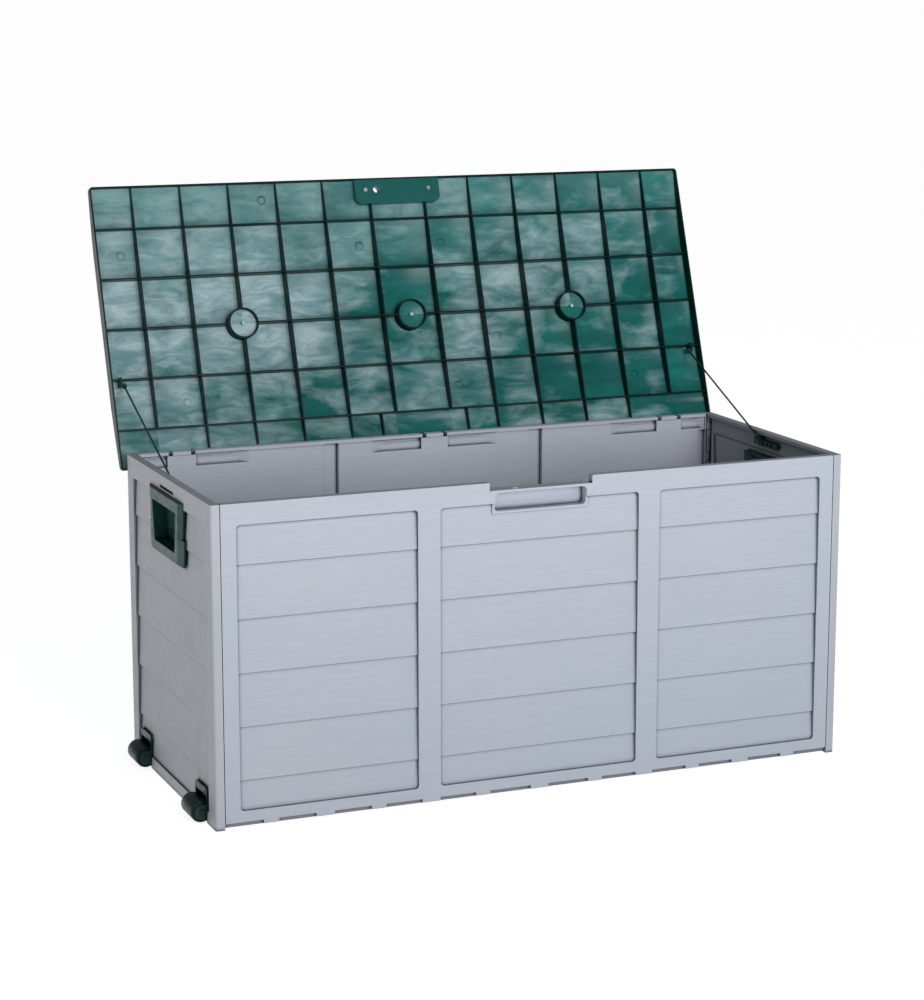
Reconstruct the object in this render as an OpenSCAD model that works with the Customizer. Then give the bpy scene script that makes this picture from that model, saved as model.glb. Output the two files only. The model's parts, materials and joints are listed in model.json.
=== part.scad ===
// Outdoor deck storage box: five resin wall and floor panels, a ribbed lid on three
// pin hinges, two grip handles, two bottom rollers and two lid restraint cords.
// Millimetres. X runs along the box, -X is the roller end, -Y is the front, Z = 0 is the floor.

/* [Body] */
// Length over the two end panels
body_l = 1104; // [1000:2:1200]
// Depth over the front and back panels
body_d = 468; // [440:2:500]
// Height of the rim above the floor
rim_z = 518; // [500:1:540]
// Width of the rim and of the full panel edge
wall = 15; // [14:0.5:16]
// Rounding of the four upright corners
corner_r = 4; // [3:0.5:12]
// Height of the rim bead on the inside
bead_h = 6; // [4:0.5:8]

/* [Planks] */
// Height of one full plank
plank_h = 86; // [80:1:90]
// Height of the lowest plank line
first_line = 77; // [70:1:84]
// Lower edge of the fields of the long panels
long_bottom = 28; // [22:1:34]
// Lower edge of the field of each end panel
end_bottom = 20; // [18:1:30]
// Distance from the rim to the upper edge of every field
field_drop = 34; // [32:1:38]
// Recess of a plank at its proud lower edge
plank_proud = 3; // [2:0.5:4]
// Recess of a plank at its upper edge
plank_deep = 6; // [5:0.5:7]
// Half width of the middle field of the long panels
mid_field = 174; // [160:1:180]
// Width of the upright between two fields of the long panels
mullion = 38; // [34:1:42]
// Distance from the body's end to the outer field edge of the long panels
end_stile = 41; // [38:1:50]
// Distance from the body's front or back to the field edge of the end panels
side_stile = 35; // [30:1:40]

/* [Latch] */
// Half width of the notch in the front rim
notch_half = 90; // [86:1:100]
// Depth of the notch below the rim
notch_h = 13; // [12:1:14]
// Half width of the finger pocket
pocket_half = 80; // [70:1:84]
// Height of the finger pocket
pocket_h = 30.5; // [26:0.5:32]
// Depth of the finger pocket
pocket_depth = 20; // [18:1:24]
// Distance of the padlock hole from the middle
lock_x = -40; // [-50:1:-30]
// Radius of the padlock hole
lock_r = 6; // [4:0.5:7]

/* [Hinges] */
// Distance of the outer hinges from the middle
hinge_x = 460; // [440:5:470]
// Distance of the hinge axis inside the back panel's face
hinge_in = 0.5; // [0:0.5:1]
// Distance of the hinge axis below the rim
hinge_drop = 14; // [13.5:0.5:15]
// Radius of a hinge pin
pin_r = 3; // [2.5:0.25:3]
// Radial running clearance between a pin and a lid lug
pin_gap = 0.06; // [0.03:0.01:0.1]
// Half width of the knuckle on the back panel
knuckle_half = 15.7; // [14:0.1:17]
// Thickness of a lid lug
lug_t = 6.8; // [5:0.1:7]
// Opening angle of the lid from closed
open_angle = 109.5; // [95:0.5:110]

/* [Handles] */
// Half width of a handle's face at its top
grip_half = 79; // [76:1:84]
// Half width of a handle's face at its bottom
grip_foot = 69; // [64:1:74]
// Height of a handle
grip_h = 104; // [96:1:110]
// Distance of a handle's top below the rim
grip_drop = 24; // [23:1:28]
// How far a handle's face stands out from the end panel
grip_out = 5.5; // [4:0.5:8]
// Depth of the hand hole from the handle's face
grip_deep = 23; // [20:1:26]

/* [Rollers] */
// Radius of a roller
roller_r = 17.5; // [15:0.5:18]
// Length of a roller
roller_l = 55; // [48:1:56]
// Distance of the rollers from the middle of the end panel
roller_y = 157; // [150:1:165]
// How far the roller axis lies outside the end panel
roller_out = 8; // [6:0.5:10]
// Gap between a roller and the floor
roller_lift = 1; // [0.5:0.5:2]
// Radius of a roller axle
axle_r = 3; // [2.5:0.25:4]

/* [Lid] */
// Length of the lid
lid_l = 1120; // [1116:2:1124]
// Depth of the lid
lid_d = 490; // [490:1:492]
// Height of the closed lid's crown above the floor
lid_top = 542; // [536:1:548]
// Rise of the crown from the lid's front and rear edges
crown = 17; // [10:1:18]
// Rise of the crown from the lid's two ends
end_crown = 5; // [3:1:8]
// Rounding of the lid's four corners
lid_corner_r = 6; // [4:1:12]
// Thickness of the lid's skin and skirt
skin = 3; // [2.5:0.5:3]
// Spacing of the ribs
rib_pitch = 87; // [84:1:88]
// Width of the middle column of cells
mid_column = 104; // [98:1:110]
// Thickness of a rib
rib_t = 2.2; // [1.8:0.1:2.6]

/* [Cords] */
// Diameter of a restraint cord
cord_d = 3.2; // [2.5:0.1:4]

/* [Hidden] */
$fn = 48;

grey = "#b9bec8";
green = "#17594f";
black = "#10211f";

half_l = body_l / 2;
half_d = body_d / 2;
field_top = rim_z - field_drop;
long_half = half_l - wall;          // half length of the front and back panels
panel_z = 10;                       // lower edge of the front and back panels
seam = 1.2;                         // open joint between the panels at each corner
panel_skin = 3;                     // thinnest wall left behind a pocket or channel
pocket_top = rim_z - notch_h - 4;   // the ledge over the finger pocket is 4 thick
hinge_y = half_d - hinge_in;
hinge_z = rim_z - hinge_drop;
hinge_xs = [-hinge_x, 0, hinge_x];
lug_gap = 0.5;                      // side play between a lug and its knuckle
lug_r = 8;
knuckle_r = 7;
head_r = pin_r + 1;
grip_top = rim_z - grip_drop;
cup_top = grip_top - 20;
cup_bottom = grip_top - grip_h + 18;
cup_half = grip_half - 13;
cup_foot = grip_foot - 13;
cup_wall = 2.5;
seat_gap = 0.3;                     // play of a handle in its end panel
grip_low = grip_top - grip_h;
low_block = [grip_low, grip_low + 44, 23];   // lower edge, upper edge and side slope of each block
high_block = [low_block[1], grip_top, 15];
slot_z = grip_top + 3.5;            // slot over a handle that its anchor plugs into
slot_h = 5;
slot_half = 37;
axle_x = -half_l - roller_out;
axle_z = roller_r + roller_lift;
bay_half = 31;                      // half width of the roller bay in the left end panel
bay_top = 56;
tab_count = 5;                      // floor tabs on either side of the middle one
tab_w = 28;
tab_d = 5;
tab_z = 4;
floor_z = 12;

edge_z = lid_top - crown;           // height of the lid's skin along its edges
skirt_z = rim_z - 3;                // lower edge of the lid's skirt
rib_tip = rim_z + 0.3;              // the closed lid rests its ribs on the rim
row5_y = lid_d / 2 - 68;            // the rib row nearest the hinges
boss_r = 27;
plate_half = 80;
plate_d = 43;
plate_z = skirt_z - 1;              // the plate ends just under the skirt
lock_y = -half_d + 10;
screw_x = 60;
ear_x = 542;                        // eye of a cord ear in the closed lid
ear_y = 94.5;
ear_z = rim_z + 5;

// Ends of a cord with the lid open, which holds it straight and taut between them
anchor_point = [534.5, 24, 508.3];
ear_point = [537, 295, 624];

// ---- shared shapes ----

// Rectangle with round corners, centred
module round_rect(w, h, r) {
    square([w - 2 * r, h], center = true);
    square([w, h - 2 * r], center = true);
    for (x = [-1, 1], y = [-1, 1])
        translate([x * (w / 2 - r), y * (h / 2 - r)]) circle(r);
}

// Extrudes a [depth, height] outline along X
module along_x(x0, x1) {
    translate([x0, 0, 0]) rotate([90, 0, 90]) linear_extrude(x1 - x0) children();
}

// Extrudes an [x, z] outline from y0 to y1
module along_y(y0, y1) {
    translate([0, y1, 0]) rotate([90, 0, 0]) linear_extrude(y1 - y0) children();
}

function plank_lines(bottom) = concat([bottom],
    [for (z = first_line; z < field_top - 20; z = z + plank_h) z], [field_top]);

// Outline of a planked face, whose every plank leans so that its lower edge stands proud
function plank_outline(bottom, back, d) = let (lines = plank_lines(bottom)) concat([[back, bottom]],
    [for (i = [0 : len(lines) - 2]) each [[plank_proud + d, lines[i]], [plank_deep + d, lines[i + 1]]]],
    [[back, field_top]]);

// Recess in front of the planks of one field
module field_cut(x0, x1, bottom) {
    intersection() {
        along_x(x0, x1) polygon(plank_outline(bottom, -1, 0));
        translate([(x0 + x1) / 2, 0, (bottom + field_top) / 2]) rotate([90, 0, 0])
            linear_extrude(2 * wall, center = true) round_rect(x1 - x0, field_top - bottom, 6);
    }
}

// Recess behind the same planks, which keeps their skin even
module field_back(x0, x1, bottom, skin_t) {
    along_x(x0, x1) polygon(plank_outline(bottom, wall + 1, skin_t));
}

// Front or back panel in its own frame: outer face at y = 0, inside towards +Y
module long_panel() {
    side0 = mid_field + mullion;
    side1 = half_l - end_stile;
    inset = 1.5;                    // the inner face is set back under the rim bead
    difference() {
        translate([-long_half + seam, 0, panel_z])
            cube([2 * (long_half - seam), wall, rim_z - panel_z]);
        for (f = [[-side1, -side0], [-mid_field, mid_field], [side0, side1]])
            field_cut(f[0], f[1], long_bottom);
        translate([-long_half + 4, wall - inset, panel_z + 6])
            cube([2 * long_half - 8, wall, rim_z - bead_h - panel_z - 6]);
        for (s = [-1, 1]) {
            // hollow uprights, open towards the inside
            translate([s * (mid_field + mullion / 2) - 14, panel_skin, 20])
                cube([28, wall, rim_z - 25]);
            translate([s * (half_l - 24) - 7, panel_skin + 2, 20]) cube([14, wall, rim_z - 49]);
        }
    }
    // tongue at each end, which plugs into the end panels
    for (s = [-1, 1])
        translate([s > 0 ? long_half - 2 : -long_half - 6, 5, 30]) cube([8, 4.4, rim_z - 60]);
    // tabs along the lower edge, which hook into the floor
    for (i = [-tab_count : tab_count])
        translate([tab_x(i) - tab_width(i) / 2, 0, tab_z]) cube([tab_width(i), tab_d, panel_z - tab_z]);
}

function tab_x(i) = i == 0 ? 0 : sign(i) * (100 + (abs(i) - 1) * 90.2);
function tab_width(i) = i % 2 == 0 ? tab_w + 3 : tab_w - 3;

module end_panel() {
    field = half_d - side_stile;
    difference() {
        linear_extrude(rim_z) {
            translate([-half_d + corner_r, 0]) square([2 * (half_d - corner_r), wall]);
            translate([-half_d, corner_r]) square([2 * half_d, wall - corner_r]);
            intersection() {
                translate([-half_d, 0]) square([body_d, wall - 1]);
                for (s = [-1, 1]) translate([s * (half_d - corner_r), corner_r]) circle(corner_r);
            }
        }
        field_cut(-field, field, end_bottom);
        field_back(-field + 1, field - 1, end_bottom, panel_skin + 1);
        // single skin between the stiles, under the rim bead
        translate([-half_d + wall + 4, 8, 8]) cube([2 * (half_d - wall - 4), wall, end_bottom - 7]);
        translate([-half_d + wall + 4, 8, field_top - 1])
            cube([2 * (half_d - wall - 4), wall, rim_z - bead_h - field_top + 1]);
        for (s = [-1, 1]) {
            translate([s * (half_d - wall / 2 - 19) - 8, 8, 8]) cube([16, wall, rim_z - bead_h - 8]);
            // groove for the tongue of the long panel
            translate([s * (half_d - 7.2) - 2.5, wall - 6.5, 29.5]) cube([5, 8, rim_z - 59]);
            // snap slots beside the corner
            for (z = [rim_z - 22 : -57 : 40])
                translate([s * (half_d - wall - 3.5) - 2.5, 4, z - 8.5]) cube([5, wall, 17]);
        }
        // seat of the handle and hole for its hand cup
        translate([0, plank_proud + seat_gap, 0]) rotate([90, 0, 0]) linear_extrude(wall)
            for (block = [low_block, high_block]) block_outline(block, block[2], seat_gap);
        translate([0, wall / 2, 0]) rotate([90, 0, 0]) linear_extrude(2 * wall, center = true)
            cup_outline(cup_wall + seat_gap);
        // slot over the handle
        translate([-slot_half, -1, slot_z]) cube([2 * slot_half, wall + 2, slot_h]);
    }
}

// The hand cup's trapezium, grown by g
module cup_outline(g) {
    polygon([[-cup_foot - g, cup_bottom - g], [cup_foot + g, cup_bottom - g],
        [cup_half + g, cup_top + g], [-cup_half - g, cup_top + g]]);
}

// Half width of a handle's face at the height z
function face_half(z) = grip_foot + (grip_half - grip_foot) * (z - grip_low) / grip_h;

// Outline of one block of the handle, whose sides lie w outside its face, grown by g
module block_outline(block, w, g) {
    low = face_half(block[0]) + w + g;
    high = face_half(block[1]) + w + g;
    polygon([[-low, block[0] - g], [low, block[0] - g], [high, block[1] + g], [-high, block[1] + g]]);
}

// Handle insert in the end panel's own frame: outer face at y = 0, inside towards +Y
module handle() {
    difference() {
        union() {
            // two blocks whose sides slope from the face out to the planks
            for (block = [low_block, high_block]) hull() {
                translate([0, plank_proud, 0]) rotate([90, 0, 0]) linear_extrude(plank_proud + 1)
                    block_outline(block, block[2], 0);
                translate([0, 1 - grip_out, 0]) rotate([90, 0, 0]) linear_extrude(1)
                    block_outline([max(block[0], grip_low + 2), min(block[1], grip_top - 2)], 0, 0);
            }
            // the cup behind the face
            translate([0, grip_deep - grip_out + cup_wall, 0]) rotate([90, 0, 0])
                linear_extrude(grip_deep + cup_wall - 2) cup_outline(cup_wall);
        }
        // hand hole
        translate([0, grip_deep - grip_out, 0]) rotate([90, 0, 0]) linear_extrude(grip_deep + 1)
            cup_outline(0);
        // drain slots in the back of the cup
        for (i = [-3 : 3])
            translate([i * 14.6, grip_deep - grip_out, cup_top - 26]) rotate([-90, 0, 0])
                linear_extrude(2 * cup_wall + 2, center = true) round_rect(4.5, 42, 2);
    }
}

// Anchor for a restraint cord, in the same frame: its tongue fills the slot over the handle
module cord_anchor() {
    difference() {
        union() {
            translate([-slot_half + 1, 3, slot_z + 0.4]) cube([2 * slot_half - 2, wall - 3, slot_h - 0.8]);
            translate([-39, 8.2, slot_z - 3.5]) cube([78, wall - 6.2, 9]);
            // block under the cord's knot
            translate([-anchor_point[1] - 8, 8.2, slot_z])
                cube([16, wall - 3.7, anchor_point[2] - slot_z - 0.3]);
        }
        for (x = [-8, 6, 20]) translate([x, 14.5, slot_z - 1.5]) cube([7, wall, 5]);
    }
}

// Rollers, in the real frame: each bracket lines its bay in the left end panel
module roller_bracket(y) {
    ear0 = roller_l / 2 + 0.4;
    back_x = -half_l + 9.5;         // the back plate stays inside the bay
    bar_x = -half_l - 0.4;
    difference() {
        union() {
            translate([back_x, y - bay_half + 0.4, 2]) cube([3, 2 * bay_half - 0.8, bay_top - 2.4]);
            for (s = [-1, 1]) translate([0, y + s * (ear0 + 1.4), 0]) {
                translate([axle_x, -1.4, axle_z - 12]) cube([back_x - axle_x + 1, 2.8, 24]);
                translate([axle_x, -1.4, axle_z]) rotate([-90, 0, 0]) cylinder(h = 2.8, r = 12);
            }
            // lining beside the roller and bar over it, flush with the end panel
            for (s = [-1, 1]) translate([bar_x, y + s * (ear0 + 1.4) - 1.4, 2])
                cube([back_x - bar_x + 1, 2.8, bay_top - 9]);
            intersection() {
                translate([bar_x, y, bay_top / 2 - 10]) rotate([90, 0, 90]) linear_extrude(3)
                    round_rect(2 * bay_half - 0.8, bay_top + 19.2, 6.6);
                translate([bar_x - 1, y - bay_half, bay_top - 12]) cube([5, 2 * bay_half, 12]);
            }
            // foot under the bracket
            translate([back_x - 4, y - bay_half + 1, 0]) cube([6.5, 8, 3]);
        }
        translate([axle_x, y - roller_l, axle_z]) rotate([-90, 0, 0]) cylinder(h = 2 * roller_l, r = axle_r);
    }
}

module axle(y) {
    half = roller_l / 2 + 3.2;
    translate([axle_x, y - half, axle_z]) rotate([-90, 0, 0]) {
        cylinder(h = 2 * half, r = axle_r);
        translate([0, 0, -1.5]) cylinder(h = 1.5, r = axle_r + 1.6);
    }
}

module roller(y) {
    translate([axle_x, y, axle_z]) rotate([90, 0, 0]) rotate_extrude($fn = 72) difference() {
        half = roller_l / 2;
        bore = axle_r + 0.05;
        polygon([[bore, -half], [roller_r - 1.2, -half], [roller_r, 1.2 - half], [roller_r, half - 1.2],
            [roller_r - 1.2, half], [bore, half]]);
        for (s = [-1, 1]) translate([roller_r - 3.5, s * half]) square([1.6, 3], center = true);
    }
}

module floor_panel() {
    edge = 5.3;                     // the floor's edge is set back behind the tabs
    slab_z = tab_z - 1.5;
    difference() {
        union() {
            translate([-long_half + 0.3, -half_d + edge, slab_z])
                cube([2 * long_half - 0.6, body_d - 2 * edge, panel_z - 0.3 - slab_z]);
            // raised floor inside the walls
            translate([-long_half + 3, -half_d + wall + 1, tab_z])
                cube([2 * long_half - 6, body_d - 2 * wall - 2, floor_z - tab_z]);
            // runners underneath
            for (y = [-180, -90, 0, 90, 180]) translate([-long_half + 12, y - 6, 0])
                cube([2 * long_half - 24, 12, tab_z + 2]);
            for (i = [-5 : 5]) translate([i * 100 - 4, -186, 0]) cube([8, 372, tab_z + 2]);
        }
        // drain holes
        for (x = [-350, 350], y = [-135, 135]) translate([x, y, -1]) cylinder(h = 20, r = 5);
    }
}

module front_panel() {
    translate([0, -half_d, 0]) difference() {
        union() {
            long_panel();
            // low lip and back of the finger pocket
            translate([-pocket_half - 2.5, plank_deep - 1, pocket_top - pocket_h - 2.5])
                cube([2 * pocket_half + 5, wall - plank_deep, pocket_h + 5]);
            translate([-pocket_half - 4, 4, pocket_top - pocket_h - 4])
                cube([2 * pocket_half + 8, pocket_depth, pocket_h + 8]);
        }
        translate([-notch_half, -1, rim_z - notch_h]) cube([2 * notch_half, wall + 2, notch_h + 1]);
        translate([0, -1, pocket_top - pocket_h / 2]) rotate([-90, 0, 0])
            linear_extrude(pocket_depth + 1) round_rect(2 * pocket_half, pocket_h, 7);
        translate([lock_x, lock_y + half_d, pocket_top - 1]) cylinder(h = 9, r = lock_r);
    }
}

// Hollows beside one hinge: two pin pockets on the inside, two lug slots through the rim
module hinge_cuts(x) {
    slot = lug_t + 1;
    pocket_x = knuckle_half + slot + 1.5;
    pocket_floor = panel_skin + 1;
    for (s = [-1, 1]) translate([x, 0, 0]) mirror([s > 0 ? 0 : 1, 0, 0]) {
        // pin pocket, whose floor ramps out to the inner face; it is short beside a corner
        len_p = s * x > 0 ? 46 : 98;
        pocket_flat = len_p * 0.65;
        intersection() {
            translate([pocket_x, 0, rim_z - 26]) linear_extrude(21)
                polygon([[0, pocket_floor], [pocket_flat, pocket_floor], [len_p, wall], [len_p, wall + 1],
                    [0, wall + 1]]);
            along_x(pocket_x - 1, pocket_x + len_p + 1) polygon([[wall + 1, rim_z - 27],
                [pocket_floor + 4, rim_z - 27], [pocket_floor + 4, rim_z - 16], [pocket_floor, rim_z - 11],
                [pocket_floor, rim_z], [wall + 1, rim_z]]);
        }
        // slot that the lid lug passes through
        translate([knuckle_half, -1, rim_z - 7]) cube([slot, wall + 2, 8]);
        translate([knuckle_half, -1, hinge_z]) cube([slot, hinge_in + lug_r + 1.5, rim_z - hinge_z]);
        translate([knuckle_half, hinge_in, hinge_z]) rotate([0, 90, 0]) {
            cylinder(h = slot, r = lug_r + 0.6);
            cylinder(h = slot + 3, r = head_r + 0.4);
        }
        // long slot through which the pin is driven in
        translate([pocket_x - 1, -1, hinge_z - 2]) cube([pocket_flat + 1, pocket_floor + 2, 4]);
    }
}

module back_panel() {
    difference() {
        union() {
            translate([0, half_d, 0]) mirror([0, 1, 0]) difference() {
                long_panel();
                for (x = hinge_xs) hinge_cuts(x);
            }
            for (x = hinge_xs) translate([x, hinge_y, hinge_z]) rotate([0, 90, 0])
                cylinder(h = 2 * knuckle_half, r = knuckle_r, center = true);
        }
        for (x = hinge_xs) translate([x, hinge_y, hinge_z]) rotate([0, 90, 0])
            cylinder(h = 2 * knuckle_half + 1, r = pin_r, center = true);
    }
}

module hinge_pin(x) {
    half = knuckle_half + lug_gap + lug_t + 1;
    translate([x, hinge_y, hinge_z]) rotate([0, 90, 0]) {
        cylinder(h = 2 * half, r = pin_r, center = true);
        for (s = [-1, 1]) translate([0, 0, s * (half + 0.75)]) cylinder(h = 1.5, r = head_r, center = true);
    }
}

// ---- lid, drawn closed and then opened about the hinge axis ----

module opened() {
    translate([0, hinge_y, hinge_z]) rotate([-open_angle, 0, 0])
        translate([0, -hinge_y, -hinge_z]) children();
}

// Radius of an arc that rises by h over the distance w
function bow_r(w, h) = (w * w + h * h) / (2 * h);

// Solid under the lid's crowned surface, shrunk by g and reaching down to z0
module crown_solid(g, z0) {
    top = lid_top - g;
    bow_y = bow_r(lid_d / 2, crown);
    end_w = 160;
    bow_x = bow_r(end_w, end_crown);
    intersection() {
        translate([0, 0, z0]) linear_extrude(lid_top - z0 + 1)
            round_rect(lid_l - 2 * g, lid_d - 2 * g, lid_corner_r - g);
        translate([-lid_l / 2 - 1, 0, top - bow_y]) rotate([0, 90, 0])
            cylinder(h = lid_l + 2, r = bow_y, $fn = 720);
        along_y(-lid_d / 2 - 1, lid_d / 2 + 1) {
            translate([end_w - lid_l / 2, z0 - 1]) square([lid_l - 2 * end_w, top - z0 + 1]);
            for (s = [-1, 1]) intersection() {
                translate([s * (lid_l / 2 - end_w), top - bow_x]) circle(bow_x, $fn = 720);
                translate([s > 0 ? 0 : -lid_l / 2 - 1, z0 - 1]) square([lid_l / 2 + 1, top - z0 + 2]);
            }
        }
    }
}

module lid_ribs() {
    half_y = lid_d / 2 - 1;
    hinge_row = lid_d / 2 - row5_y;
    for (s = [-1, 1]) {
        for (k = [0 : 5]) {
            x = s * (mid_column / 2 + k * rib_pitch);
            gone = k == 0 || k == 5;
            translate([x - rib_t / 2, -half_y, rib_tip])
                cube([rib_t, (gone ? row5_y : half_y - 8) + half_y, lid_top]);
        }
        translate([s * 81 - rib_t / 2, row5_y, rib_tip]) cube([rib_t, hinge_row - 12, lid_top]);
    }
    for (j = [0 : 4])
        translate([-lid_l / 2 + 1, row5_y - j * rib_pitch - rib_t / 2, rib_tip])
            cube([lid_l - 2, rib_t, lid_top]);
}

boss_xs = [-mid_column / 2 - 3 * rib_pitch, 0, mid_column / 2 + 3 * rib_pitch];
boss_y = row5_y - 2 * rib_pitch;

module lid_lug(x) {
    foot = lid_d / 2 - skin / 2 - hinge_y;
    translate([x - lug_t / 2, hinge_y, hinge_z]) difference() {
        union() {
            rotate([0, 90, 0]) cylinder(h = lug_t, r = lug_r);
            translate([0, -lug_r, 0]) cube([lug_t, lug_r + 6.5, edge_z - skin - hinge_z]);
            translate([0, -lug_r, skirt_z + 1 - hinge_z]) cube([lug_t, lug_r + foot, edge_z - skirt_z - 4]);
        }
        translate([-1, 0, 0]) rotate([0, 90, 0]) cylinder(h = lug_t + 2, r = pin_r + pin_gap);
    }
}

// Ear with an eye for a cord, under the fourth rib row
module cord_ear(s) {
    difference() {
        intersection() {
            translate([s * ear_x - 2, ear_y - 9, ear_z - 3.6]) cube([4, 16, 40]);
            crown_solid(skin / 2, rim_z);
        }
        translate([s * ear_x - 5, ear_y, ear_z + 1]) rotate([0, 90, 0]) cylinder(h = 10, r = 2.2);
    }
}

// Round boss with a dished floor and a sprue point
module rib_boss(x) {
    intersection() {
        crown_solid(skin / 2, skirt_z);
        translate([x, boss_y, rib_tip]) {
            difference() {
                cylinder(h = 30, r = boss_r);
                translate([0, 0, -1]) cylinder(h = 9, r = boss_r - 2.5);
            }
            translate([0, 0, 3.5]) cylinder(h = 8, r = 3.4);
        }
    }
}

module lid_shell() {
    lug_x = knuckle_half + lug_gap + lug_t / 2;
    difference() {
        union() {
            difference() {
                crown_solid(0, skirt_z);
                crown_solid(skin, skirt_z - 1);
            }
            difference() {
                intersection() {
                    crown_solid(skin / 2, skirt_z);
                    lid_ribs();
                }
                for (x = boss_xs) translate([x, boss_y, skirt_z]) cylinder(h = 60, r = boss_r - 1);
                translate([-plate_half - 1, -lid_d / 2 - 1, skirt_z])
                    cube([2 * plate_half + 2, plate_d + 4, 60]);
            }
            for (x = boss_xs) rib_boss(x);
            for (x = hinge_xs, s = [-1, 1]) lid_lug(x + s * lug_x);
            for (s = [-1, 1]) cord_ear(s);
        }
        translate([lock_x, lock_y, skirt_z]) cylinder(h = 60, r = lock_r);
    }
}

module latch_plate() {
    difference() {
        intersection() {
            crown_solid(skin, plate_z - 1);
            translate([0, -lid_d / 2 + skin + plate_d / 2, plate_z]) linear_extrude(40) {
                round_rect(2 * plate_half, plate_d, 12);
                translate([0, -plate_d / 4]) square([2 * plate_half, plate_d / 2], center = true);
            }
        }
        translate([lock_x, lock_y, plate_z - 1]) cylinder(h = 60, r = lock_r);
        for (s = [-1, 1]) translate([s * screw_x, lock_y, plate_z - 1]) {
            cylinder(h = 3, r = 4);
            cylinder(h = 12, r = 1.5);
        }
    }
}

module latch_screws() {
    for (s = [-1, 1]) translate([s * screw_x, lock_y, plate_z + 0.3]) difference() {
        union() {
            cylinder(h = 1.7, r = 3.6);
            cylinder(h = 9, r = 1.5);
        }
        translate([-0.5, -2.4, -1]) cube([1, 4.8, 1.8]);
        translate([-2.4, -0.5, -1]) cube([4.8, 1, 1.8]);
    }
}

// ---- cords ----

// A straight tube of eight sides with a ring every few diameters
module cord_tube(a, b) {
    sides = 8;
    rings = 40;
    along = b - a;
    dir = along / norm(along);
    u = [1, 0, 0];
    v = cross(dir, u);
    points = [for (i = [0 : rings], k = [0 : sides - 1])
        a + along * (i / rings) + cord_d / 2 * (cos(k * 360 / sides) * u + sin(k * 360 / sides) * v)];
    faces = concat([[for (k = [0 : sides - 1]) k]],
        [for (i = [0 : rings - 1], k = [0 : sides - 1])
            let (m = (k + 1) % sides)
            [i * sides + k, (i + 1) * sides + k, (i + 1) * sides + m, i * sides + m]],
        [[for (k = [sides - 1 : -1 : 0]) rings * sides + k]]);
    polyhedron(points, faces);
}

module restraint_cord(s) {
    cord_tube([s * anchor_point[0], anchor_point[1], anchor_point[2]],
        [s * ear_point[0], ear_point[1], ear_point[2]]);
}

// The end panels' own frame turned onto the left and the right end
module left_end() {
    translate([-half_l, 0, 0]) rotate([0, 0, -90]) children();
}

module right_end() {
    mirror([1, 0, 0]) left_end() children();
}

color(grey) floor_panel();  // base_panel
color(grey) front_panel();
color(grey) back_panel();
color(grey) difference() {  // end_panel_left
    left_end() end_panel();
    for (s = [-1, 1]) translate([-half_l - 1, s * roller_y, 0]) rotate([90, 0, 90])
        linear_extrude(wall - 1) translate([0, bay_top / 2 - 10]) round_rect(2 * bay_half, bay_top + 20, 7);
}
color(grey) right_end() end_panel();  // end_panel_right
color(green) left_end() handle();  // handle_left
color(green) right_end() handle();  // handle_right
color(green) left_end() cord_anchor();  // cord_anchor_left
color(green) right_end() cord_anchor();  // cord_anchor_right
color(green) roller_bracket(-roller_y);  // roller_bracket_front
color(green) roller_bracket(roller_y);  // roller_bracket_rear
color(black) axle(-roller_y);  // axle_front
color(black) axle(roller_y);  // axle_rear
color(black) roller(-roller_y);  // roller_front
color(black) roller(roller_y);  // roller_rear
color(green) hinge_pin(-hinge_x);  // hinge_pin_left
color(green) hinge_pin(0);  // hinge_pin_middle
color(green) hinge_pin(hinge_x);  // hinge_pin_right
color(green) opened() lid_shell();
color(green) opened() latch_plate();
color(black) opened() latch_screws();
color(green) restraint_cord(-1);  // cord_left
color(green) restraint_cord(1);  // cord_right
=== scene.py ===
import json
import math

import bmesh
import bpy
from mathutils import Matrix, Vector


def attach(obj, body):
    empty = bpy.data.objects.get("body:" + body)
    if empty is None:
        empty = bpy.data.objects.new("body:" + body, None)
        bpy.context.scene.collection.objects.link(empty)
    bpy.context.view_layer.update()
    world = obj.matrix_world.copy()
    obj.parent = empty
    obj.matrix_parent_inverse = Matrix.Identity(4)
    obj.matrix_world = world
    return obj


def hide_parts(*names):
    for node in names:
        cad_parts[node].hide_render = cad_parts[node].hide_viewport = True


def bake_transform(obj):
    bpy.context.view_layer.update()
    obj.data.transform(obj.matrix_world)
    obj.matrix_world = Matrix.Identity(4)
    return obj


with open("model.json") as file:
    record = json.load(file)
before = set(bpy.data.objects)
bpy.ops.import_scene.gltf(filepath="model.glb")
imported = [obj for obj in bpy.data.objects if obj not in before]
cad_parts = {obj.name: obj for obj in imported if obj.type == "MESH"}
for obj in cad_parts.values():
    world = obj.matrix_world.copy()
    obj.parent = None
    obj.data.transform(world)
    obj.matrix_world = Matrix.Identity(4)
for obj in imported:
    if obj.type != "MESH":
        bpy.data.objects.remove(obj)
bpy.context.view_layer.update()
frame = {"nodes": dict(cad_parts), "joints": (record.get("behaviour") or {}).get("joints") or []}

# ---- sizes, in metres ----

# The lid's hinge axis, and how far the lid stands open at rest
LID_HINGE = next(joint for joint in frame["joints"] if joint["name"] == "lid_hinge")
HINGE = Vector(LID_HINGE["pos_m"])
LID_ANGLE = math.radians(LID_HINGE["range_deg"][1])

# The rib grid of the shut lid: x of the ribs beside the middle, y of the rear rib, and the pitch
MIDDLE_RIB = 0.052
REAR_RIB = 0.177
RIB_PITCH = 0.087

# Heights in the shut lid: the skin lies above the first, and the tips of the bosses between the others
SKIN_HEIGHT = 0.5205
TIP_HEIGHTS = (0.5216, 0.5219)

# A moulding mark: its place in a cell of the ribs, its flat and outer radius, and how many cells have one
MARK_PLACE = (0.026, 0.044)
MARK_RADII = (0.005, 0.0085)
MARK_SHARE = 0.14

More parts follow.
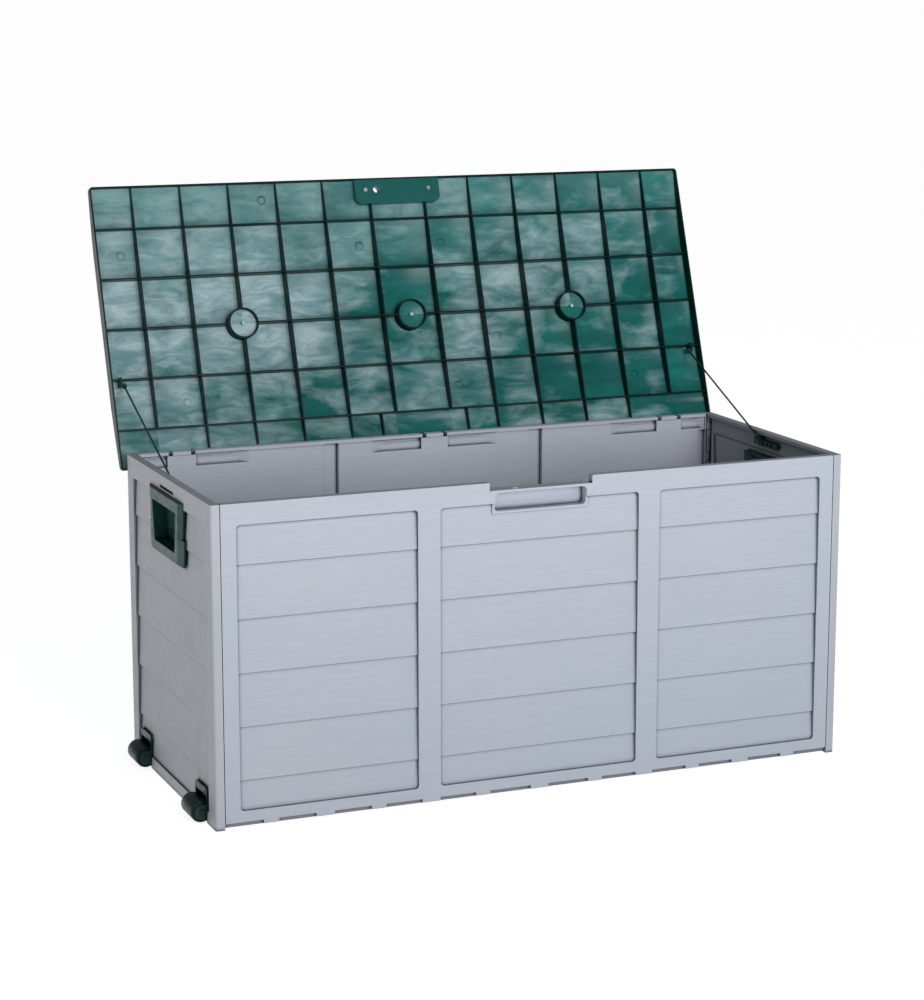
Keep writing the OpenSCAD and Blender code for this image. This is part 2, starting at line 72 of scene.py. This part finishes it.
# The right cord's ends, on the end panel and in the lid; the left one mirrors them
ANCHOR = (0.5345, 0.024, 0.5083)
EAR = (0.537, 0.295, 0.624)
CORD_WIDTH = 0.0032
CORD_RINGS = 60
CORD_SIDES = 12
KNOT_RADIUS = 0.0034
KNOT_TILTS = (0.5, -0.6)
KNOT_RINGS = 20
KNOT_SIDES = 10

# ---- camera ----

LENS_MM = 94.3
SENSOR_MM = 36
EYE = Vector((-1.696, -3.972, 1.318))
TARGET = Vector((-0.040, 0.0, 0.443))

camera = bpy.data.objects.new("camera", bpy.data.cameras.new("camera"))
bpy.context.collection.objects.link(camera)
camera.data.lens = LENS_MM
camera.data.sensor_width = SENSOR_MM
camera.location = EYE
camera.rotation_mode = "QUATERNION"
camera.rotation_quaternion = (TARGET - EYE).to_track_quat("-Z", "Y")
bpy.context.scene.camera = camera

# ---- material helpers ----


class Nodes:
    """Short calls for building one material's node tree."""

    def __init__(self, name):
        self.material = bpy.data.materials.new(name)
        self.material.use_nodes = True
        self.tree = self.material.node_tree
        self.tree.nodes.clear()
        out = self.tree.nodes.new("ShaderNodeOutputMaterial")
        self.shader = self.tree.nodes.new("ShaderNodeBsdfPrincipled")
        self.tree.links.new(self.shader.outputs[0], out.inputs[0])
        place = self.tree.nodes.new("ShaderNodeTexCoord")
        self.coord = place.outputs["Object"]
        self.normal = place.outputs["Normal"]

    def set(self, socket, value):
        """Links a node's output to socket, or writes a number or colour into it."""
        if isinstance(value, bpy.types.NodeSocket):
            self.tree.links.new(value, socket)
        elif isinstance(value, tuple) and len(value) == 3 and socket.type == "RGBA":
            socket.default_value = (*value, 1)
        else:
            socket.default_value = value

    def stretched(self, scale, place=None):
        """Coordinates multiplied by scale."""
        node = self.tree.nodes.new("ShaderNodeMapping")
        node.inputs["Scale"].default_value = scale
        self.tree.links.new(place or self.coord, node.inputs[0])
        return node.outputs[0]

    def shut_lid(self):
        """Coordinates on the lid as if it were shut."""
        node = self.tree.nodes.new("ShaderNodeMapping")
        node.inputs["Rotation"].default_value = (LID_ANGLE, 0, 0)
        node.inputs["Location"].default_value = HINGE - Matrix.Rotation(LID_ANGLE, 3, "X") @ HINGE
        self.tree.links.new(self.coord, node.inputs[0])
        return node.outputs[0]

    def split(self, vector):
        """The X, Y and Z of vector."""
        node = self.tree.nodes.new("ShaderNodeSeparateXYZ")
        self.tree.links.new(vector, node.inputs[0])
        return node.outputs

    def join(self, x, y, z):
        """The vector of three numbers."""
        node = self.tree.nodes.new("ShaderNodeCombineXYZ")
        for socket, value in zip(node.inputs, (x, y, z)):
            self.set(socket, value)
        return node.outputs[0]

    def math(self, kind, a, b=0.0):
        """One operation on one or two numbers."""
        node = self.tree.nodes.new("ShaderNodeMath")
        node.operation = kind
        self.set(node.inputs[0], a)
        self.set(node.inputs[1], b)
        return node.outputs[0]

    def weighted(self, *terms):
        """Sum of each pair's value times its weight."""
        total = 0.0
        for value, weight in terms:
            total = self.math("ADD", total, self.math("MULTIPLY", value, weight))
        return total

    def ramp(self, value, low, high, to_low=0.0, to_high=1.0):
        """Value carried from the range low to high to the range to_low to to_high, and held at its ends."""
        node = self.tree.nodes.new("ShaderNodeMapRange")
        self.set(node.inputs["Value"], value)
        for name, number in zip(("From Min", "From Max", "To Min", "To Max"), (low, high, to_low, to_high)):
            node.inputs[name].default_value = number
        return node.outputs[0]

    def between(self, factor, a, b):
        """Number between a and b."""
        node = self.tree.nodes.new("ShaderNodeMix")
        self.set(node.inputs[0], factor)
        self.set(node.inputs[2], a)
        self.set(node.inputs[3], b)
        return node.outputs[0]

    def mix(self, factor, a, b):
        """Colour between a and b."""
        node = self.tree.nodes.new("ShaderNodeMix")
        node.data_type = "RGBA"
        self.set(node.inputs[0], factor)
        self.set(node.inputs[6], a)
        self.set(node.inputs[7], b)
        return node.outputs[2]

    def noise(self, scale, detail, rough=0.55, stretch=(1, 1, 1), distortion=0.0, place=None):
        """Cloudy number between 0 and 1."""
        node = self.tree.nodes.new("ShaderNodeTexNoise")
        self.tree.links.new(self.stretched(stretch, place), node.inputs["Vector"])
        node.inputs["Scale"].default_value = scale
        node.inputs["Detail"].default_value = detail
        node.inputs["Roughness"].default_value = rough
        node.inputs["Distortion"].default_value = distortion
        return node.outputs["Fac"]

    def random(self, a, b):
        """One random number for each pair of numbers."""
        node = self.tree.nodes.new("ShaderNodeTexWhiteNoise")
        node.noise_dimensions = "2D"
        self.tree.links.new(self.join(a, b, 0.0), node.inputs["Vector"])
        return node.outputs["Value"]

    def occlusion_shade(self, reach, low, high):
        """1 deep in a corner or gap and 0 on open surfaces, found by ambient occlusion: the mask for
        painted shade in crevices.
        """
        node = self.tree.nodes.new("ShaderNodeAmbientOcclusion")
        node.samples = 8
        node.inputs["Distance"].default_value = reach
        return self.ramp(node.outputs["AO"], low, high, 1, 0)

    def bump(self, height, strength, distance, normal=None):
        """Normal of a surface raised by height, over normal if that is given."""
        node = self.tree.nodes.new("ShaderNodeBump")
        node.inputs["Strength"].default_value = strength
        node.inputs["Distance"].default_value = distance
        self.set(node.inputs["Height"], height)
        if normal:
            self.set(node.inputs["Normal"], normal)
        return node.outputs[0]

    def finish(self, color, roughness, normal=None, specular=0.5):
        """Connects the shader and gives the material."""
        self.set(self.shader.inputs["Base Color"], color)
        self.set(self.shader.inputs["Roughness"], roughness)
        self.set(self.shader.inputs["Specular IOR Level"], specular)
        if normal:
            self.set(self.shader.inputs["Normal"], normal)
        return self.material


def srgb(r, g, b):
    """Linear colour from 0 to 255 display values."""
    return tuple(((c / 255 + 0.055) / 1.055) ** 2.4 if c > 10 else c / 255 / 12.92 for c in (r, g, b))


# ---- materials ----


def grey_resin(name, planks_along_x, warm, cool, crevice_shade_end=0.93):
    """Satin grey resin with fine wood grain along the planks, darker towards the bottom, and with painted
    shade in its crevices.
    """
    n = Nodes(name)
    along = (1, 30, 30) if planks_along_x else (30, 1, 30)
    grain = n.noise(8, detail=5, rough=0.65, stretch=along, distortion=0.5)
    fine_grain = n.noise(30, detail=3, rough=0.6, stretch=along)
    cloud = n.noise(3.2, detail=3, rough=0.5)
    streaks = n.ramp(n.weighted((grain, 0.7), (fine_grain, 0.3)), 0.35, 0.65)
    low_down = n.ramp(n.split(n.coord)[2], 0.0, 0.5, 0.3, 0.0)
    color = n.mix(n.ramp(cloud, 0.38, 0.62), warm, cool)
    color = n.mix(n.math("MULTIPLY", streaks, 0.13), color, srgb(120, 126, 138))
    color = n.mix(low_down, color, srgb(104, 112, 124))
    # painted shade: the colour goes dark where ambient occlusion finds a corner, step or gap
    color = n.mix(n.occlusion_shade(0.007, 0.5, crevice_shade_end), color, srgb(60, 65, 75))
    roughness = n.ramp(n.noise(40, detail=2), 0.3, 0.7, 0.46, 0.6)
    relief = n.weighted((grain, 1.0), (fine_grain, 0.5))
    return n.finish(color, roughness, n.bump(relief, strength=0.35, distance=0.0010))


def moulding_mark(n, x, y, column, row, chance):
    """Height of the small round moulding mark that some cells of the lid have."""
    across = n.math("SUBTRACT", x, n.weighted((column, RIB_PITCH), (MIDDLE_RIB + MARK_PLACE[0], 1.0)))
    along = n.math("SUBTRACT", y, n.weighted((row, RIB_PITCH), (REAR_RIB + MARK_PLACE[1], 1.0)))
    away = n.math("SQRT", n.math("ADD", n.math("POWER", across, 2), n.math("POWER", along, 2)))
    disc = n.ramp(away, *MARK_RADII, 1, 0)
    return n.math("MULTIPLY", disc, n.math("GREATER_THAN", chance, 1 - MARK_SHARE))


def lid_cells(name):
    """Deep green resin under a pale bloom, which differs a little from cell to cell of the ribs."""
    n = Nodes(name)
    place = n.shut_lid()
    x, y, _ = n.split(place)
    aside = n.math("ABSOLUTE", x)
    column = n.math("FLOOR", n.math("DIVIDE", n.math("SUBTRACT", aside, MIDDLE_RIB), RIB_PITCH))
    row = n.math("FLOOR", n.math("DIVIDE", n.math("SUBTRACT", y, REAR_RIB), RIB_PITCH))
    # the half keeps the middle column from being 0 on one side and -0 on the other
    side_column = n.math("MULTIPLY", n.math("ADD", column, 1), n.math("SIGN", x))
    chance = n.random(n.math("ADD", side_column, 0.5), row)

    cell = n.join(x, y, n.math("MULTIPLY", chance, 3.0))
    swirl = n.noise(6.0, detail=3, rough=0.55, stretch=(1, 1.3, 1), distortion=1.5, place=cell)
    streak = n.noise(4.5, detail=6, rough=0.66, stretch=(1, 3.4, 1), distortion=0.9, place=cell)
    smear = n.noise(17.0, detail=4, rough=0.6, stretch=(1, 2.6, 1), distortion=0.9, place=cell)
    drift = n.noise(2.6, detail=2, rough=0.5, distortion=0.6, place=place)
    amount = n.weighted((swirl, 1.1), (streak, 0.75), (smear, 0.28), (drift, 1.1), (chance, 0.16))
    amount = n.math("SUBTRACT", amount, n.ramp(x, -0.3, 0.62, 0.0, 0.27))
    bloom = n.ramp(amount, 1.40, 1.94)
    # the bloom is even near the front edge of the lid's left part
    even_bloom = n.ramp(drift, 0.3, 0.7, 0.26, 0.48)
    evenness = n.math("MULTIPLY", n.ramp(x, -0.30, 0.30, 1, 0.3), n.ramp(y, -0.05, -0.22, 0, 1))
    bloom = n.between(n.math("MULTIPLY", evenness, 0.8), bloom, even_bloom)

    green = n.mix(n.ramp(streak, 0.3, 0.7), srgb(14, 88, 86), srgb(34, 128, 122))
    pale = n.mix(n.ramp(smear, 0.38, 0.62), srgb(140, 176, 184), srgb(190, 214, 220))
    color = n.mix(n.math("MULTIPLY", bloom, 0.9), green, pale)
    marks = moulding_mark(n, aside, y, column, row, chance)
    flow = n.bump(streak, strength=0.10, distance=0.0012)
    normal = n.bump(marks, strength=0.9, distance=0.003, normal=flow)
    return n.finish(color, n.ramp(bloom, 0, 1, 0.26, 0.52), normal, specular=0.25)


def rib_resin(name, color, specular):
    """Clean resin that is slightly rubbed in spots."""
    n = Nodes(name)
    rub = n.ramp(n.noise(45, detail=5, rough=0.7), 0.55, 0.75)
    color = n.mix(n.math("MULTIPLY", rub, 0.2), color, srgb(50, 96, 92))
    normal = n.bump(n.noise(120, detail=3), strength=0.08, distance=0.0004)
    return n.finish(color, n.ramp(rub, 0, 1, 0.3, 0.5), normal, specular)


def outer_resin(name):
    """Outside of the lid: green with a thin dusty bloom."""
    n = Nodes(name)
    dust = n.ramp(n.noise(5.5, detail=5, rough=0.65, distortion=1.2), 0.4, 0.7)
    color = n.mix(n.math("MULTIPLY", dust, 0.35), srgb(12, 84, 74), srgb(120, 150, 148))
    normal = n.bump(n.noise(240, detail=3), strength=0.18, distance=0.0004)
    return n.finish(color, n.ramp(dust, 0, 1, 0.3, 0.5), normal)


def dark_resin(name, color, worn, amount):
    """Dark resin, scuffed on the faces that point along the box, with painted shade in its crevices."""
    n = Nodes(name)
    scuff = n.ramp(n.noise(55, detail=6, rough=0.7, stretch=(1, 1, 1.6)), 0.40, 0.66)
    outward = n.ramp(n.math("ABSOLUTE", n.split(n.normal)[0]), 0.975, 0.995, 0.1, 1)
    tint = n.mix(n.math("MULTIPLY", n.math("MULTIPLY", scuff, outward), amount), color, worn)
    # painted shade: near-black where ambient occlusion finds a corner or gap
    tint = n.mix(n.occlusion_shade(0.008, 0.3, 0.85), tint, srgb(3, 16, 15))
    normal = n.bump(n.noise(150, detail=3), strength=0.2, distance=0.0005)
    return n.finish(tint, n.ramp(scuff, 0, 1, 0.3, 0.55), normal, specular=0.25)


def zinc(name):
    """Zinc plated steel."""
    n = Nodes(name)
    n.shader.inputs["Metallic"].default_value = 1
    return n.finish(srgb(186, 189, 192), n.ramp(n.noise(90, detail=3), 0.3, 0.7, 0.25, 0.45))


def fibre(name):
    """Dark green twisted cord."""
    n = Nodes(name)
    twist = n.noise(900, detail=2, rough=0.5, stretch=(1, 1, 0.4))
    color = n.mix(twist, srgb(6, 30, 27), srgb(24, 70, 62))
    return n.finish(color, 0.7, n.bump(twist, strength=0.5, distance=0.0004))


def paper(name):
    """Pale paper that glows a little, so that it stays near white away from the lamps."""
    n = Nodes(name)
    n.shader.inputs["Emission Color"].default_value = (1, 1, 1, 1)
    n.shader.inputs["Emission Strength"].default_value = 0.87
    return n.finish(n.mix(n.noise(0.6, detail=2), (0.5, 0.5, 0.51), (0.54, 0.54, 0.54)), 0.9)


MATERIALS = {
    "long": grey_resin("grey_resin_long", True, srgb(183, 187, 199), srgb(177, 187, 199)),
    # The back panel's resin is a lighter copy of the long panels' resin: painted light that brightens its
    # shaded inner face
    "back": grey_resin("grey_resin_back_painted_lighter", True, srgb(214, 219, 231), srgb(207, 217, 229)),
    # The end panels' resin is a little darker than the long panels', with stronger crevice shade: painted
    # shade for the shaded left end
    "end": grey_resin("grey_resin_end_painted_darker", False, srgb(182, 183, 191), srgb(175, 180, 188), crevice_shade_end=0.99),
    # The base's resin is darker and warmer than the panels': painted shade for the strip under the front
    # panel
    "base": grey_resin("grey_resin_base_painted_shade", True, srgb(128, 120, 124), srgb(116, 112, 118)),
    "cells": lid_cells("lid_cells"),
    # The ribs' near-black green is partly their own resin without the bloom and partly painted shade
    # between the deep ribs
    "ribs": rib_resin("lid_ribs", srgb(3, 38, 37), specular=0.14),
    # The pale sprue colour on the boss tips is a painted highlight
    "sprue_highlight": rib_resin("lid_sprue_painted_highlight", srgb(150, 214, 206), specular=0.5),
    "outside": outer_resin("lid_outer"),
    "plate": rib_resin("plate_green", srgb(4, 92, 88), specular=0.4),
    "handle": dark_resin("handle_green", srgb(8, 62, 56), srgb(70, 102, 100), amount=0.5),
    "bracket": dark_resin("bracket_green", srgb(12, 46, 46), srgb(66, 92, 92), amount=0.35),
    "black": dark_resin("roller_black", srgb(8, 38, 38), srgb(50, 80, 80), amount=0.4),
    "steel": zinc("zinc"),
    "cord": fibre("cord_fibre"),
}

# ---- looks of the CAD nodes ----

# The materials of each node; a node that isn't named here has the handle's
LID_LOOKS = ["cells", "ribs", "outside", "sprue_highlight"]
LOOKS = {
    "base_panel": ["base"],
    "front_panel": ["long"],
    "back_panel": ["back"],
    "end_panel_left": ["end"],
    "end_panel_right": ["end"],
    "lid_shell": LID_LOOKS,
    "latch_plate": ["plate"],
    "latch_screws": ["steel"],
    "roller_front": ["black"],
    "roller_rear": ["black"],
    "axle_front": ["black"],
    "axle_rear": ["black"],
    "roller_bracket_front": ["bracket"],
    "roller_bracket_rear": ["bracket"],
}

# Width of the rounded edges of each node, in metres
EDGES = {
    "base_panel": 0.0006,
    "front_panel": 0.0011,
    "back_panel": 0.0009,
    "end_panel_left": 0.0011,
    "end_panel_right": 0.0011,
    "lid_shell": 0.0004,
    "latch_plate": 0.0016,
    "handle_left": 0.0022,
    "handle_right": 0.0022,
    "roller_bracket_front": 0.001,
    "roller_bracket_rear": 0.001,
    "roller_front": 0.0008,
    "roller_rear": 0.0008,
    "cord_anchor_left": 0.0008,
    "cord_anchor_right": 0.0008,
}
BEVEL_FROM_DEGREES = 38
WELD_REACH = 0.00001

# Nodes that keep smooth shading for their round surfaces
ROUND_NODES = {"lid_shell", "roller_front", "roller_rear"}


def soften(thing, width):
    """Rounds the hard edges of a moulded piece; flat faces stay flat unless it is a round node."""
    if thing.name not in ROUND_NODES:
        if "custom_normal" in thing.data.attributes:
            thing.data.attributes.remove(thing.data.attributes["custom_normal"])
        thing.data.shade_flat()
    weld = thing.modifiers.new("weld", "WELD")
    weld.merge_threshold = WELD_REACH
    bevel = thing.modifiers.new("edges", "BEVEL")
    bevel.width = width
    bevel.segments = 2
    bevel.limit_method = "ANGLE"
    bevel.angle_limit = math.radians(BEVEL_FROM_DEGREES)
    bevel.harden_normals = False


def lid_look(facing, height):
    """The look of a face of the shut lid, from how far it faces up, 1 to -1, and its height."""
    if facing > 0.5:
        return "outside"
    if facing >= -0.8:
        return "ribs"
    # boss tips take the painted highlight colour
    if TIP_HEIGHTS[0] < height < TIP_HEIGHTS[1]:
        return "sprue_highlight"
    return "cells" if height > SKIN_HEIGHT else "ribs"


def paint_lid(thing):
    """Gives each face of the lid the material of its look."""
    shut = Matrix.Rotation(LID_ANGLE, 3, "X")
    for face in thing.data.polygons:
        height = (HINGE + shut @ (face.center - HINGE)).z
        facing = (shut @ face.normal).z
        face.material_index = LID_LOOKS.index(lid_look(facing, height))


for node in frame["nodes"]:
    thing = bpy.data.objects[node]
    thing.data.materials.clear()
    for look in LOOKS.get(node, ["handle"]):
        thing.data.materials.append(MATERIALS[look])
    if node in EDGES:
        soften(thing, EDGES[node])
paint_lid(bpy.data.objects["lid_shell"])

# ---- cords ----


def join_rings(bm, rings):
    """Faces from each ring of vertices to the next."""
    for a, b in zip(rings, rings[1:]):
        sides = len(a)
        for k in range(sides):
            bm.faces.new((a[k], b[k], b[(k + 1) % sides], a[(k + 1) % sides]))


def cord_piece(bm, name):
    """Makes bm an object of cord."""
    bmesh.ops.recalc_face_normals(bm, faces=bm.faces)
    mesh = bpy.data.meshes.new(name)
    bm.to_mesh(mesh)
    bm.free()
    mesh.materials.append(MATERIALS["cord"])
    piece = bpy.data.objects.new(name, mesh)
    bpy.context.collection.objects.link(piece)
    return piece


def straight_tube(start, end):
    """Closed tube of the cord's width."""
    along = end - start
    across = along.cross(Vector((1, 0, 0))).normalized()
    other = along.cross(across).normalized()
    turns = [k * math.tau / CORD_SIDES for k in range(CORD_SIDES)]
    spokes = [CORD_WIDTH / 2 * (math.cos(t) * across + math.sin(t) * other) for t in turns]
    bm = bmesh.new()
    rings = []
    for i in range(CORD_RINGS + 1):
        centre = start + along * i / CORD_RINGS
        rings.append([bm.verts.new(centre + spoke) for spoke in spokes])
    join_rings(bm, rings)
    bm.faces.new(rings[0])
    bm.faces.new(rings[-1][::-1])
    return bm


def add_turn(bm, place):
    """One closed ring of cord, around the Z axis of place."""
    rings = []
    for i in range(KNOT_RINGS):
        a = i / KNOT_RINGS * math.tau
        ring = []
        for k in range(KNOT_SIDES):
            b = k / KNOT_SIDES * math.tau
            reach = KNOT_RADIUS + CORD_WIDTH / 2 * math.cos(b)
            point = Vector((reach * math.cos(a), reach * math.sin(a), CORD_WIDTH / 2 * math.sin(b)))
            ring.append(bm.verts.new(place @ point))
        rings.append(ring)
    join_rings(bm, rings + rings[:1])


def knot(name, centre, along, body):
    """Two turns of cord pulled tight around its end."""
    facing = along.to_track_quat("Z", "Y").to_matrix().to_4x4()
    bm = bmesh.new()
    for k, tilt in enumerate(KNOT_TILTS):
        place = Matrix.Translation(centre + along.normalized() * (k - 0.5) * CORD_WIDTH * 0.8)
        add_turn(bm, place @ facing @ Matrix.Rotation(tilt, 4, "X"))
    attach(cord_piece(bm, name), body)


def restraint_cord(node, side):
    """Taut cord from its anchor on the end panel to its ear in the lid, with a knot at each end."""
    start = Vector((side * ANCHOR[0], *ANCHOR[1:]))
    end = Vector((side * EAR[0], *EAR[1:]))
    along = end - start
    piece = cord_piece(straight_tube(start, end), f"{node}_piece")
    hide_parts(node)
    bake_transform(piece)
    knot(f"{node}_low_knot", start, along, "box")
    knot(f"{node}_high_knot", end, along, "lid")


restraint_cord("cord_left", side=-1)
restraint_cord("cord_right", side=1)

# ---- stage ----

FLOOR_SIZE = 900
WORLD_LIGHT = 0.2


def stage_floor():
    """Floor of pale paper that reaches the horizon."""
    bpy.ops.mesh.primitive_plane_add(size=FLOOR_SIZE, location=(0, 0, 0))
    floor = bpy.context.object
    floor.name = "floor"
    floor.data.materials.append(paper("floor_paper"))


def area_light(name, place, target, size, power):
    """Square lamp at place that points at target."""
    data = bpy.data.lights.new(name, "AREA")
    data.size = size
    data.energy = power
    lamp = bpy.data.objects.new(name, data)
    bpy.context.collection.objects.link(lamp)
    lamp.location = place
    lamp.rotation_euler = (Vector(target) - Vector(place)).to_track_quat("-Z", "Y").to_euler()


def studio_world():
    """Weak white light from all round, which is plain white paper where it is seen past the floor."""
    world = bpy.data.worlds.new("studio")
    world.use_nodes = True
    nodes = world.node_tree.nodes
    nodes["Background"].inputs["Color"].default_value = (1, 1, 1, 1)
    seen = nodes.new("ShaderNodeLightPath").outputs["Is Camera Ray"]
    strength = nodes.new("ShaderNodeMapRange")
    strength.inputs["To Min"].default_value = WORLD_LIGHT
    world.node_tree.links.new(seen, strength.inputs["Value"])
    world.node_tree.links.new(strength.outputs[0], nodes["Background"].inputs["Strength"])
    bpy.context.scene.world = world


stage_floor()
area_light("key", place=(0.5, -5.0, 1.8), target=(0, 0, 0.4), size=2.4, power=130)
area_light("top", place=(-0.5, -0.5, 4.2), target=(0, 0, 0.3), size=3.0, power=4)
studio_world()
bpy.context.scene.view_settings.view_transform = "Standard"
